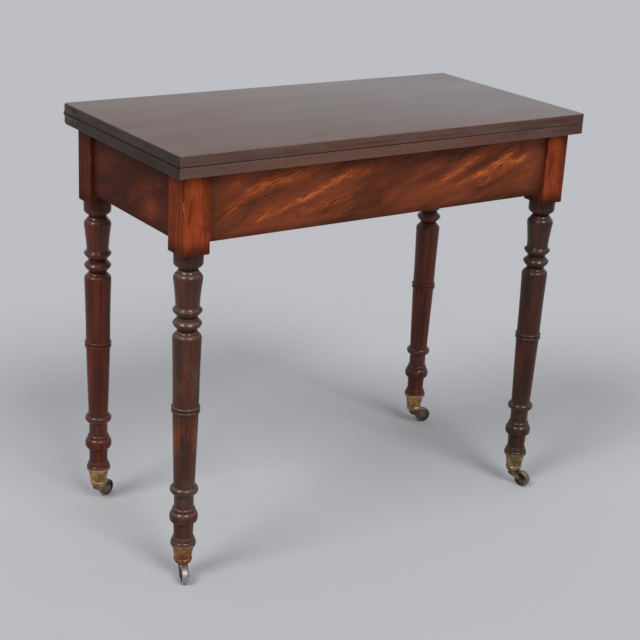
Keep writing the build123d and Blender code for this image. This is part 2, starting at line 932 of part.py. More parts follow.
nodes["upper_leaf"] = [upper_leaf()]
nodes["upper_cloth"] = [cloth(True)]

for end, sign in end_signs.items():
    nodes["lower_hinge_arm_" + end] = [hinge_arm(False, sign)]
    nodes["upper_hinge_arm_" + end] = [hinge_arm(True, sign)]
    nodes["hinge_pin_" + end] = [hinge_pin(sign)]

nodes["lower_hinge_screws"] = hinge_screws(False)
nodes["upper_hinge_screws"] = hinge_screws(True)

for name, solids in nodes.items():
    shape = solids[0] if len(solids) == 1 else Compound(children=solids)
    export_step(shape, os.path.join("parts", name + ".step"))
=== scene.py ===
# %% [markdown]
# Folding card table, dressed for the studio.
#
# The table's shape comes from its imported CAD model, where every board, leg, hinge and castor is
# a node of its own. This notebook keeps those shapes and gives them what the real table shows:
# old polish, figured veneer, tarnished brass, and a green cloth on the inside of each leaf.
# Only the two cloths are modelled anew, as thin sheets.
# Lengths are in metres. +X runs to the right end, +Y to the rear and +Z up.

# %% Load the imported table
import math

import bpy
from mathutils import Matrix, Vector


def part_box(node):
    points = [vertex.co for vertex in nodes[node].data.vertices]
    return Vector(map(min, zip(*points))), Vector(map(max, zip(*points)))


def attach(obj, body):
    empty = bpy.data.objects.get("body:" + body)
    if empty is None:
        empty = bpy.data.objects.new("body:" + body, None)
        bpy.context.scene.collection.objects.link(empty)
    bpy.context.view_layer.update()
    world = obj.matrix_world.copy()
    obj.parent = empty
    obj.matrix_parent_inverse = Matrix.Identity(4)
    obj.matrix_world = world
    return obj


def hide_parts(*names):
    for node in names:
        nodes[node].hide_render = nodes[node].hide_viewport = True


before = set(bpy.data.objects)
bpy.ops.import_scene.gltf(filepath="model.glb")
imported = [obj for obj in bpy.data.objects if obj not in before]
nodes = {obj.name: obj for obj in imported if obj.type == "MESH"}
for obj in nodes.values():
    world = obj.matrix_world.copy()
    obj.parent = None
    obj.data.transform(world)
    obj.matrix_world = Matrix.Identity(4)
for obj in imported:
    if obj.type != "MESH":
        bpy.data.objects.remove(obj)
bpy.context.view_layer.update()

# %% [markdown]
# The table is seen from the left of its front, a little above the top, through a long lens that
# is tipped by three degrees. A camera can be placed by eye, but only measured values bring every
# edge to its place in the photo. These were fitted to the edges of the top, the mouldings of the
# legs and the wheels.

# %% The camera
camera_place = Vector((-1.40814, -2.00313, 1.25265))
camera_azimuth = math.radians(-35.1018)
camera_elevation = math.radians(20.2950)
camera_roll = math.radians(3.0759)
lens_mm = 80.11
sensor_mm = 36


def camera_axes():
    """Right, up and backward directions of the camera."""
    level = math.cos(camera_elevation)
    back = Vector((
        math.sin(camera_azimuth) * level,
        -math.cos(camera_azimuth) * level,
        math.sin(camera_elevation),
    ))
    right = (-back).cross(Vector((0, 0, 1))).normalized()
    up = right.cross(-back)
    tip, keep = math.sin(camera_roll), math.cos(camera_roll)
    return right * keep + up * tip, up * keep - right * tip, back


bpy.ops.object.select_all(action="DESELECT")
bpy.ops.object.camera_add()
camera = bpy.context.object
camera.name = "camera"
turned = Matrix(camera_axes()).transposed().to_4x4()
camera.matrix_world = Matrix.Translation(camera_place) @ turned
camera.data.sensor_width = sensor_mm
camera.data.lens = lens_mm
bpy.context.scene.camera = camera
print("camera at", [round(v, 3) for v in camera_place])

# %% [markdown]
# Every finish here is a recipe of shader nodes. It could be a painted picture, but a recipe has
# no seams, stays sharp close to the camera and is easy to change. What is constant is set on the
# main shader's own sockets, and only what varies over a piece is wired.

# %% Making nodes and materials
def screen(red, green, blue):
    """A colour as a screen shows it, 0 to 255, as the linear colour that a shader takes."""
    shares = [value / 255 for value in (red, green, blue)]
    linear = [s / 12.92 if s <= 0.04045 else ((s + 0.055) / 1.055) ** 2.4 for s in shares]
    return (*linear, 1)


def put(tree, kind, wires=None, **options):
    """Adds a shader node. Wires are its inputs by name or number: values, or other outputs."""
    made = tree.nodes.new("ShaderNode" + kind)
    for name, value in options.items():
        setattr(made, name, value)
    for name, value in (wires or {}).items():
        if isinstance(value, bpy.types.NodeSocket):
            tree.links.new(value, made.inputs[name])
        else:
            made.inputs[name].default_value = value
    return made


def main_socket(material, name):
    """A socket of the material's main shader, with _ for each space in its name."""
    shader = material.node_tree.nodes["Principled BSDF"]
    return shader.inputs[name.replace("_", " ")]


def new_finish(name, **constants):
    """A material and its node tree, with the constant sockets of its main shader set."""
    material = bpy.data.materials.new(name)
    material.use_nodes = True
    for socket, value in constants.items():
        main_socket(material, socket).default_value = value
    return material, material.node_tree


def feed(material, **outputs):
    """Wires those sockets of the main shader that vary over the piece."""
    for socket, output in outputs.items():
        material.node_tree.links.new(output, main_socket(material, socket))


def wear(material, *names):
    """Gives these nodes one material, in every slot."""
    for name in names:
        for slot in nodes[name].material_slots:
            slot.material = material
    print(material.name, "on", len(names), "nodes")


print("mid grey 128 is", round(screen(128, 128, 128)[0], 3), "in linear light")

# %% [markdown]
# A recipe asks the same few things of the shader again and again: where a point is, how far
# through a range a value has gone, and how much of one colour lies over another. Short helpers
# keep the recipes as readable as the steps of a polisher.

# %% Places, sums and mixing
def place_of(tree):
    """Where each point is on the piece, from its Object coordinates."""
    return put(tree, "TexCoord").outputs["Object"]


def normal_of(tree):
    """The direction in which each point's surface looks."""
    return put(tree, "TexCoord").outputs["Normal"]


def split(tree, vector):
    """X, Y and Z of a vector."""
    return put(tree, "SeparateXYZ", {0: vector}).outputs


def sums(tree, operation, first, second=0):
    """One step of arithmetic on values or outputs."""
    return put(tree, "Math", {0: first, 1: second}, operation=operation).outputs[0]


def times(tree, first, second):
    return sums(tree, "MULTIPLY", first, second)


def plus(tree, first, second):
    return sums(tree, "ADD", first, second)


def minus(tree, first, second):
    return sums(tree, "SUBTRACT", first, second)


def larger(tree, first, second):
    return sums(tree, "MAXIMUM", first, second)


def unsigned(tree, value):
    return sums(tree, "ABSOLUTE", value)


def span(tree, value, low, high, start=0, end=1):
    """Goes smoothly from start to end while the value goes from low to high."""
    wires = {"Value": value, 1: low, 2: high, 3: start, 4: end}
    return put(tree, "MapRange", wires, interpolation_type="SMOOTHSTEP").outputs[0]


def near(tree, value, middle, reach):
    """1 at the middle, falling to 0 at reach on either side."""
    return span(tree, unsigned(tree, minus(tree, value, middle)), 0, reach, 1, 0)


def mixed(tree, amount, first, second):
    """Two colours mixed by an amount."""
    return put(tree, "Mix", {0: amount, 6: first, 7: second}, data_type="RGBA").outputs[2]


def raised(tree, height, depth):
    """Bump from a height of 0 to 1 that stands for this depth in metres."""
    wires = {"Height": height, "Distance": depth, "Strength": 1}
    return put(tree, "Bump", wires).outputs[0]


print("helpers for the recipes are ready")

# %% [markdown]
# Grain is the same idea at three sizes. Broad bands drift along the board, fine fibres run with
# them, and pores are short dark dashes. A wave pattern would repeat, so each is noise that is
# stretched along the board.

# %% Noise and grain
def stretched(tree, vector, scale, turn=(0, 0, 0), shift=(0, 0, 0)):
    """The place turned, then scaled and shifted, so that a round pattern becomes long grain."""
    if any(turn):
        vector = put(tree, "Mapping", {"Vector": vector, "Rotation": turn}).outputs[0]
    wires = {"Vector": vector, "Scale": scale, "Location": shift}
    return put(tree, "Mapping", wires).outputs[0]


def noise(tree, vector, detail=3, roughness=0.55, distortion=0):
    """Soft random patches, about one to a unit, from 0 to 1."""
    wires = {
        "Vector": vector, "Scale": 1, "Detail": detail,
        "Roughness": roughness, "Distortion": distortion,
    }
    return put(tree, "TexNoise", wires).outputs[0]


def grain_place(tree, place, along, fine, long):
    """The place, scaled for a pattern that is long along one axis and fine across it."""
    scale = tuple(long if axis == along else fine for axis in (0, 1, 2))
    return stretched(tree, place, scale)


def fibres(tree, place, along, fine, long):
    return noise(tree, grain_place(tree, place, along, fine, long), detail=4, roughness=0.6)


def bands(tree, place, along, fine, long):
    return noise(tree, grain_place(tree, place, along, fine, long), detail=2, distortion=0.6)


def pores(tree, place, along, fine, long):
    """1 on each dash and 0 between them."""
    dashes = noise(tree, grain_place(tree, place, along, fine, long), detail=1)
    return span(tree, dashes, 0.6, 0.72)


print("grain runs along one axis: fibres, bands and pores")

# %% [markdown]
# The figured veneer on the front is the table's show piece. Orange streaks lie across dark
# red-brown wood and rise to the right, where the grain turned towards the surface. Noise alone
# would strew them anywhere, so they are placed one by one, as a maker would choose the cut.

# %% Where the streaks lie
# Each streak is its middle along the panel, its height, half its length and breadth, in
# millimetres, the angle at which it rises, in degrees, and its strength.
front_streaks = (
    (-301, 641, 39, 8, 33, 0.6), (-297, 683, 15, 7, 23, 0.6), (-206, 679, 58, 9, 9, 0.9),
    (-240, 653, 20, 5, 14, 0.4), (-174, 641, 28, 4, 19, 0.9), (-113, 664, 40, 6, 22, 1.0),
    (-241, 623, 31, 9, 14, 0.75), (-158, 624, 38, 7, 14, 0.6), (-97, 624, 24, 10, 4, 0.4),
    (-46, 679, 27, 7, 17, 0.5), (-76, 640, 36, 7, 11, 0.35), (-11, 656, 15, 6, 20, 0.4),
    (64, 665, 14, 7, 18, 0.35), (102, 639, 33, 7, 18, 0.6), (164, 665, 36, 6, 25, 0.85),
    (152, 634, 40, 4, 15, 0.6), (212, 651, 31, 7, 15, 1.0), (257, 673, 22, 7, 26, 0.9),
    (218, 634, 37, 6, 14, 0.7), (284, 662, 30, 6, 16, 0.95), (320, 647, 16, 4, 17, 0.4),
)
left_streaks = (
    (69, 623, 26, 22, 35, 0.55), (35, 652, 40, 10, 30, 0.3), (-57, 637, 60, 8, 25, 0.2),
)
right_streaks = (
    (-60, 640, 60, 9, 22, 0.5), (40, 668, 70, 8, 26, 0.4), (70, 622, 40, 7, 20, 0.35),
)


def streak_field(tree, panel, streaks):
    """Sum of the streaks: panel holds the place along the panel as X and the height as Z."""
    total = 0
    for along, height, length, breadth, rise, strength in streaks:
        wires = {
            "Vector": panel,
            "Location": (along / 1000, 0, height / 1000),
            "Rotation": (0, -math.radians(rise), 0),
            "Scale": (2 * length / 1000, 1, 2 * breadth / 1000),
        }
        spot = put(tree, "Mapping", wires, vector_type="TEXTURE").outputs[0]
        blob = put(tree, "TexGradient", {0: spot}, gradient_type="SPHERICAL").outputs["Fac"]
        wires = {0: blob, 1: strength, 2: total}
        total = put(tree, "Math", wires, operation="MULTIPLY_ADD").outputs[0]
    return total


print(len(front_streaks), "streaks on the front")

# %% [markdown]
# A bare streak is a smooth oval. On the real veneer it breaks up into hairs of light grain, and
# its outline wanders. So the place is pushed about by noise before the streaks are looked up,
# and hairs that rise with the grain then decide how much of each streak shows.

# %% Figured veneers
frame_bottom, frame_top = [corner.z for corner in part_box("front_veneer")]
hair_rise = math.radians(19)
cloud_rise = math.radians(12)
side_reach = 0.04

dark_hair = screen(52, 26, 18)
streak_orange = screen(176, 82, 42)
spark_gold = screen(226, 150, 90)
side_shade = screen(60, 34, 27)
edge_shade = screen(46, 22, 16)
hole_brown = screen(20, 10, 8)


def wavering(tree, panel):
    """The place on the panel, pushed about a little."""
    wires = {"Vector": panel, "Scale": 42, "Detail": 4, "Roughness": 0.65}
    drift = put(tree, "TexNoise", wires).outputs["Color"]
    wires = {0: drift, 1: (0.5, 0.5, 0.5)}
    push = put(tree, "VectorMath", wires, operation="SUBTRACT").outputs[0]
    wires = {0: push, 1: (0.03, 0, 0.011), 2: panel}
    return put(tree, "VectorMath", wires, operation="MULTIPLY_ADD").outputs[0]


def veneer_finish(name, node, along, sign, streaks, feathered, tones):
    """Polished figured veneer along X or Y. Feathered is what weak and strong hairs leave."""
    dark, middle, warm, bright = tones
    material, tree = new_finish(
        name, Coat_Weight=0.16, Coat_Roughness=0.2, Specular_IOR_Level=0
    )
    x, y, z = split(tree, place_of(tree))
    run = times(tree, (x, y)[along], sign)
    panel_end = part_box(node)[1][along]
    panel = put(tree, "CombineXYZ", {0: run, 2: z}).outputs[0]
    bent = wavering(tree, panel)
    field = streak_field(tree, bent, streaks)
    turn = (0, hair_rise, 0)
    hair = noise(tree, stretched(tree, panel, (44, 1, 560), turn), detail=5, roughness=0.7)
    ticks = noise(tree, stretched(tree, panel, (420, 1, 900), turn), detail=2)
    broad = noise(tree, stretched(tree, bent, (7, 1, 44), turn), detail=3, distortion=0.4)
    cloudy = stretched(tree, panel, (5, 1, 16), (0, cloud_rise, 0), (3, 0, 1))
    clouds = noise(tree, cloudy, detail=2)

    colour = mixed(tree, span(tree, clouds, 0.36, 0.62), dark, middle)
    colour = mixed(tree, span(tree, broad, 0.46, 0.7, 0, 0.6), colour, warm)
    colour = mixed(tree, span(tree, hair, 0.52, 0.7, 0, 0.5), colour, warm)
    colour = mixed(tree, span(tree, hair, 0.5, 0.34, 0, 0.4), colour, dark_hair)
    feather = times(tree, field, span(tree, hair, 0.38, 0.62, *feathered))
    colour = mixed(tree, span(tree, feather, 0.05, 0.9, 0, 0.8), colour, streak_orange)
    colour = mixed(tree, span(tree, feather, 0.45, 1.2, 0, 0.85), colour, bright)
    spark = times(tree, span(tree, feather, 0.6, 1.2), span(tree, ticks, 0.45, 0.6))
    colour = mixed(tree, times(tree, spark, 0.8), colour, spark_gold)

    # Painted shade: the panel is darker beside the posts, behind whose faces it lies recessed.
    post_side_shade = span(tree, unsigned(tree, run), panel_end - side_reach, panel_end, 0, 0.45)
    colour = mixed(tree, post_side_shade, colour, side_shade)
    # Painted shade under the overhang of the top; the lower edge is darkened too.
    edge = larger(tree, near(tree, z, frame_bottom, 0.014), near(tree, z, frame_top, 0.012))
    colour = mixed(tree, times(tree, edge, 0.55), colour, edge_shade)
    wires = {"Vector": panel, "Scale": 26, "Randomness": 1}
    holes = put(tree, "TexVoronoi", wires).outputs["Distance"]
    colour = mixed(tree, span(tree, holes, 0.02, 0.035, 0.8, 0), colour, hole_brown)
    feed(
        material,
        Base_Color=colour,
        Roughness=span(tree, hair, 0.2, 0.8, 0.4, 0.55),
        Normal=raised(tree, hair, 0.00005),
    )
    return material


front_tones = (screen(89, 46, 30), screen(135, 68, 43), screen(156, 78, 44), screen(204, 104, 48))
end_tones = (screen(64, 29, 18), screen(90, 42, 25), screen(108, 50, 28), screen(132, 64, 32))
veneers = {
    "front_flame_veneer": ("front_veneer", 0, 1, front_streaks, (0.25, 1.55), front_tones),
    "left_end_veneer": ("left_veneer", 1, -1, left_streaks, (0.75, 1.0), end_tones),
    "right_end_veneer": ("right_veneer", 1, 1, right_streaks, (0.6, 1.1), end_tones),
}
for name, (node, *look) in veneers.items():
    wear(veneer_finish(name, node, *look), node)

# %% [markdown]
# A leg is one length of mahogany, but it shows two faces to the light. The square post at its
# head is flat-sawn, orange and lively; the turned shaft below is nearly black-red and glossy,
# with dirt and painted shade in its grooves. Two materials would need a cut between them, so one
# recipe reads the height and blends the two. The grooves come first: a colour ramp along the leg
# lights up at each of them. A ramp holds 32 stops, so the leg is shared between two ramps.

# %% Dirt and painted shade in the grooves of the legs
ramp_top = 0.72
ramp_split = 0.38

# Where dirt and painted shade lie: the height of each groove or neck, and how far it
# reaches up and down.
low_grooves = (
    (0.0670, 0.0022), (0.0724, 0.0022), (0.0795, 0.0020), (0.1051, 0.0025), (0.1271, 0.0022),
    (0.1335, 0.0020), (0.1555, 0.0035), (0.1727, 0.0020), (0.3042, 0.0022), (0.3105, 0.0024),
)
high_grooves = (
    (0.4425, 0.0014), (0.4463, 0.0022), (0.4498, 0.0012), (0.4655, 0.0014), (0.4686, 0.0016),
    (0.4716, 0.0012), (0.4832, 0.0020), (0.5432, 0.0018), (0.5485, 0.0026), (0.5651, 0.0012),
)


def ramp(tree, value, stops):
    """A grey for each value, from (value, grey) stops in rising order."""
    made = put(tree, "ValToRGB", {0: value})
    elements = made.color_ramp.elements
    while len(elements) < len(stops):
        elements.new(0.5)
    for number, stop in enumerate(stops):
        elements[number].position = stop[0]
    for number, stop in enumerate(stops):
        elements[number].color = (stop[1], stop[1], stop[1], 1)
    return made.outputs[0]


def groove_ramp(tree, height, low, high, grooves):
    """1 in each groove between two heights of the leg, and 0 elsewhere."""
    stops = []
    for middle, reach in grooves:
        for step, level in ((-1, 0), (0, 1), (1, 0)):
            stops.append(((middle + step * reach - low) / (high - low), level))
    share = sums(tree, "DIVIDE", minus(tree, height, low), high - low)
    return ramp(tree, share, stops)


print(len(low_grooves) + len(high_grooves), "grooves on each leg")

# %% [markdown]
# The shaft's dark red is mixed from two tones along the grain. A pale sheen is painted wherever
# the turning faces upwards, where the lamps above lay broad highlights on the rings. It could be
# painted ring by ring, but the surface's own direction tells the same for all of them at once.

# %% Turned shaft
post_bottom = 0.575

shaft_grain = screen(34, 16, 12)
painted_ring_sheen = screen(150, 130, 118)
groove_dirt_and_shade = screen(44, 42, 33)
block_shade = screen(42, 31, 27)


def shaft_colour(tree, z, upward, band, fibre, dark, red, worn):
    """Colour of the turning. Upward is how far its surface looks up."""
    shaft = mixed(tree, span(tree, band, 0.35, 0.68), dark, red)
    shaft = mixed(tree, span(tree, fibre, 0.45, 0.7, 0, 0.4), shaft, shaft_grain)
    # Painted highlight: a pale sheen on every slope that faces up, stronger on worn legs.
    dust_and_sheen = span(tree, upward, 0.2, 0.75, 0, 0.12 + 0.2 * worn)
    shaft = mixed(tree, dust_and_sheen, shaft, painted_ring_sheen)
    # Dirt and painted shade darken the grooves and necks.
    grooves = larger(
        tree, groove_ramp(tree, z, 0, ramp_split, low_grooves),
        groove_ramp(tree, z, ramp_split, ramp_top, high_grooves),
    )
    shaft = mixed(tree, times(tree, grooves, 0.6), shaft, groove_dirt_and_shade)
    turned_block = near(tree, z, post_bottom - 0.008, 0.016)
    return mixed(tree, times(tree, turned_block, 0.5), shaft, block_shade)


print("the turning ends and the post begins at", post_bottom)

# %% [markdown]
# The post's front and back are lively flat-sawn wood, and its two end faces are quieter. The
# long edges, the arrises, are dark with old polish and chipped here and there. Object
# coordinates can't find an edge, but its rounding looks half forward and half sideways, and
# that is enough.

# %% Square post
glow_shift, glow_breadth = 0.003, 0.022
glow_height, glow_reach = 0.645, 0.07
arris_facing = 0.7071

post_grain = screen(60, 22, 12)
arris_dark = screen(44, 21, 14)
bare_wood = screen(176, 132, 96)
post_end_shade = screen(52, 23, 15)


def post_colour(tree, centred, z, sideways, figure, fibre, dark, bright, quiet_tones, worn):
    """Colour of the post. Sideways is how far its surface looks to the left or right."""
    lively = mixed(tree, span(tree, figure, 0.36, 0.66, 0, 0.8), dark, bright)
    across = minus(tree, split(tree, centred)[0], glow_shift)
    glow = times(
        tree, near(tree, across, 0, glow_breadth), near(tree, z, glow_height, glow_reach)
    )
    lively = mixed(tree, times(tree, glow, 0.55), lively, bright)
    quiet = mixed(tree, span(tree, figure, 0.3, 0.7), *quiet_tones)
    post = mixed(tree, span(tree, sideways, 0.5, 0.85), lively, quiet)
    post = mixed(tree, span(tree, fibre, 0.46, 0.7, 0, 0.55), post, post_grain)
    arris = times(tree, near(tree, sideways, arris_facing, 0.2), 0.75)
    post = mixed(tree, arris, post, arris_dark)
    chipped = noise(tree, stretched(tree, centred, (90, 90, 60), shift=(5, 3, 1)), detail=2)
    chipped = times(tree, span(tree, chipped, 0.6, 0.66), arris)
    chipped = times(tree, chipped, 0.3 + 0.8 * worn)
    post = mixed(tree, chipped, post, bare_wood)
    # Painted shade under the overhang of the top; the post's foot is darkened too.
    ends = larger(tree, near(tree, z, post_bottom, 0.026), near(tree, z, frame_top, 0.011))
    return mixed(tree, times(tree, ends, 0.7), post, post_end_shade)


print("posts are", round(frame_top - post_bottom, 4), "high")

# %% [markdown]
# The shafts are rubbed, the front left one most of all. There the polish has gone dull and
# grey, a reddish scuff shows fresh wood, and small pale chips lie in the dull patches. Each leg
# could have wear of its own, but one number for each, worn, keeps one recipe for all four.

# %% Wear on the shafts
shank_bottom = (0.07, 0.12)
shank_top = (0.40, 0.47)
scuff_height, scuff_reach = 0.262, 0.04

patina_grey = screen(84, 72, 54)
scuff_red = screen(134, 62, 32)
chip_pale = screen(150, 132, 98)


def leg_wear(tree, colour, centred, z, band, rubbed, worn):
    """The leg's colour with its wear, and the patina alone, which also dulls the gloss."""
    shank = times(tree, span(tree, z, *shank_bottom), span(tree, z, *shank_top, 1, 0))
    patina = times(tree, span(tree, rubbed, 0.48, 0.66), worn)
    patina = times(tree, patina, shank)
    colour = mixed(tree, patina, colour, patina_grey)
    scuff = times(tree, near(tree, z, scuff_height, scuff_reach), span(tree, band, 0.42, 0.6))
    colour = mixed(tree, times(tree, scuff, worn), colour, scuff_red)
    specks = put(tree, "TexVoronoi", {"Vector": centred, "Scale": 190}).outputs["Distance"]
    chips = times(tree, span(tree, specks, 0.10, 0.16, 1, 0), span(tree, rubbed, 0.5, 0.6))
    chips = times(tree, times(tree, chips, shank), worn)
    return mixed(tree, chips, colour, chip_pale), patina


print("wear lies between", shank_bottom[0], "and", shank_top[1])

# %% [markdown]
# Each leg has tones and wear of its own, because light and hands have treated them differently.
# The recipe is centred on each leg's axis, so that its glow falls on the middle of the post; the
# grain could be shifted from leg to leg, but here all four share one pattern. Polish is a clear
# coat over the wood. It is thickest on the two groups of rings, which keep their mirror.

# %% The four legs
upper_rings = (0.5, 0.075)
lower_rings = (0.155, 0.04)
pore_dark = screen(22, 11, 9)


def leg_finish(corner, shaft_dark, shaft_red, post_dark, post_bright, quiet_tones, worn):
    """Dark glossy turning under a brighter square post. Worn is how much the polish has gone."""
    material, tree = new_finish(
        "mahogany_" + corner, Coat_Roughness=0.12, Specular_IOR_Level=0
    )
    low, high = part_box("leg_" + corner)
    middle = (low + high) / 2
    place = place_of(tree)
    centred = stretched(tree, place, (1, 1, 1), shift=(-middle.x, -middle.y, 0))
    z = split(tree, place)[2]
    facing = split(tree, normal_of(tree))
    sideways = unsigned(tree, facing[0])
    fibre = fibres(tree, centred, 2, 300, 9)
    band = bands(tree, centred, 2, 60, 5)
    figure = bands(tree, centred, 2, 48, 15)
    flecks = pores(tree, centred, 2, 1500, 90)
    patches = stretched(tree, centred, (34, 34, 14), shift=(2, 1, 0))
    rubbed = noise(tree, patches, detail=4, roughness=0.65)

    shaft = shaft_colour(tree, z, facing[2], band, fibre, shaft_dark, shaft_red, worn)
    post = post_colour(
        tree, centred, z, sideways, figure, fibre, post_dark, post_bright, quiet_tones, worn
    )
    colour = mixed(tree, span(tree, z, post_bottom - 0.006, post_bottom + 0.012), shaft, post)
    colour, patina = leg_wear(tree, colour, centred, z, band, rubbed, worn)
    colour = mixed(tree, times(tree, flecks, 0.5), colour, pore_dark)

    gloss = span(tree, rubbed, 0.3, 0.75, 0.26, 0.42)
    ringed = larger(tree, near(tree, z, *upper_rings), near(tree, z, *lower_rings))
    polish = span(tree, z, post_bottom - 0.012, post_bottom + 0.006, 0.58, 0.12)
    feed(
        material,
        Base_Color=colour,
        Roughness=plus(tree, gloss, times(tree, patina, 0.2)),
        Coat_Weight=plus(tree, polish, times(tree, ringed, 0.25)),
        Normal=raised(tree, minus(tree, fibre, flecks), 0.00005),
    )
    return material


bright_post = (screen(112, 46, 25), screen(186, 84, 42))
red_post = (screen(104, 43, 25), screen(172, 78, 41))
dull_post = (screen(72, 33, 21), screen(106, 50, 29))
orange_end = (screen(118, 50, 26), screen(146, 68, 36))
brown_end = (screen(78, 38, 26), screen(100, 51, 36))
leg_looks = {
    "front_left": (screen(66, 37, 24), screen(92, 46, 28), *bright_post, orange_end, 0.8),
    "front_right": (screen(50, 25, 15), screen(76, 34, 20), *red_post, orange_end, 0.15),
    "rear_left": (screen(78, 29, 13), screen(108, 40, 18), *dull_post, brown_end, 0.1),
    "rear_right": (screen(78, 33, 18), screen(108, 44, 24), *dull_post, brown_end, 0.1),
}
for corner, look in leg_looks.items():
    wear(leg_finish(corner, *look), "leg_" + corner)

# %% [markdown]
# The leaves have lost most of their polish on top, where a painted grey reflection of the pale
# studio lies over the brown, and the long edges and the ends of the boards are darker and rubbed
# at their corners. Each side could have a material of its own, but the CAD leaf is one solid, so
# the direction in which its surface looks tells the top, the long edges and the ends apart.
# These are the three colours.

# %% Top, long edges and ends of the leaves
lower_leaf_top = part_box("lower_leaf")[1].z
leaf_joint = (lower_leaf_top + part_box("upper_leaf")[0].z) / 2
joint_blend = 0.0004
board_joints, board_joint_reach = (-0.233, 0.007), 0.0016
end_board_joint, end_joint_reach = 0.131, 0.0014
red_patch_middle, red_patch_reach = 0.160, 0.026

face_brown = (screen(98, 70, 59), screen(113, 87, 76))
painted_reflection_grey = screen(128, 120, 119)
face_grain = screen(66, 50, 45)
face_pores = screen(44, 32, 28)
edge_brown = (screen(108, 72, 59), screen(86, 55, 44))
edge_pale = screen(128, 88, 70)
edge_right = screen(64, 38, 28)
edge_left = screen(84, 72, 70)
edge_patch = screen(104, 82, 74)
edge_red = screen(128, 62, 52)
edge_joint = screen(150, 128, 116)
end_brown = (screen(50, 36, 27), screen(63, 48, 36))
end_under = screen(44, 32, 18)
end_joint_dark = screen(24, 20, 18)


def face_colour(tree, x, y, band, cloud, fibre, flecks):
    """The large flat sides, with a painted grey reflection that grows towards the rear and the
    right.
    """
    face = mixed(tree, span(tree, band, 0.3, 0.7), *face_brown)
    # Painted reflection: a grey sheen, stronger towards the rear and the right.
    reflection_share = plus(tree, y, times(tree, x, 0.6))
    reflection_share = plus(tree, reflection_share, span(tree, cloud, 0.35, 0.65, -0.08, 0.08))
    face = mixed(tree, span(tree, reflection_share, -0.26, 0.28, 0, 0.9), face, painted_reflection_grey)
    face = mixed(tree, span(tree, fibre, 0.4, 0.75, 0, 0.35), face, face_grain)
    return mixed(tree, times(tree, flecks, 0.35), face, face_pores)


def edge_colour(tree, x, z, under, fibre, patchy):
    """The long edges, darker to the right, greyer to the left. Under is 1 on the lower leaf."""
    edge = mixed(tree, span(tree, fibre, 0.35, 0.7), *edge_brown)
    pale = times(tree, under, span(tree, x, 0.05, 0.25, 0.45, 0))
    edge = mixed(tree, pale, edge, edge_pale)
    edge = mixed(tree, span(tree, x, 0.15, 0.4, 0, 0.5), edge, edge_right)
    edge = mixed(tree, span(tree, x, -0.2, -0.38, 0, 0.4), edge, edge_left)
    edge = mixed(tree, span(tree, patchy, 0.45, 0.65, 0, 0.6), edge, edge_patch)
    red_patch = times(
        tree, near(tree, x, red_patch_middle, red_patch_reach),
        span(tree, z, leaf_joint, lower_leaf_top),
    )
    edge = mixed(tree, times(tree, red_patch, 0.25), edge, edge_red)
    joints = larger(tree, *[near(tree, x, spot, board_joint_reach) for spot in board_joints])
    return mixed(tree, times(tree, joints, 0.14), edge, edge_joint)


def end_colour(tree, y, under, patchy):
    """The two short ends, with the dark joint of two boards."""
    end = mixed(tree, span(tree, patchy, 0.4, 0.65), *end_brown)
    end = mixed(tree, times(tree, under, 0.6), end, end_under)
    joint = near(tree, y, end_board_joint, end_joint_reach)
    return mixed(tree, times(tree, joint, 0.7), end, end_joint_dark)


print("the leaves meet at", round(leaf_joint, 5))

# %% [markdown]
# Two things lie over those colours. Between the closed leaves runs a dark crack, wider on the
# ends. The gap between them is too thin for its own shadow to show from afar, so the shadow is
# part of the finish. And the upper rounding of the top is rubbed pale, in patches and specks.

# %% Crack, rubbed corners and finish of the leaves
crack_reach = (0.0012, 0.0026)
table_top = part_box("upper_leaf")[1].z
arris_start, arris_full = table_top - 0.0025, table_top - 0.0015

crack_black = screen(7, 5, 4)
rubbed_pale = screen(158, 138, 128)


def crack_shade(tree, z, flat, endwise):
    """1 at the joint between the leaves and 0 on their flat sides."""
    gap = unsigned(tree, minus(tree, z, leaf_joint))
    reach = span(tree, endwise, 0.3, 0.7, *crack_reach)
    crack = span(tree, sums(tree, "DIVIDE", gap, reach), 0.4, 1, 1, 0)
    crack = times(tree, crack, span(tree, flat, 0.9, 0.985, 1, 0))
    return times(tree, crack, span(tree, endwise, 0.3, 0.7, 0.7, 1))


def corner_rub(tree, place, z, flat):
    """How much of the rounding's polish is gone, most of it along the top."""
    corner = times(tree, span(tree, flat, 0.15, 0.4), span(tree, flat, 0.8, 0.95, 1, 0))
    rub = noise(tree, stretched(tree, place, (30, 60, 60)), detail=2)
    specks = noise(tree, stretched(tree, place, (220, 300, 300)), detail=2)
    rub = span(tree, rub, 0.35, 0.65, 0.3, 0.5)
    rub = plus(tree, rub, span(tree, specks, 0.6, 0.68, 0, 0.5))
    corner = times(tree, corner, rub)
    return times(tree, corner, span(tree, z, arris_start, arris_full, 0.06, 1))


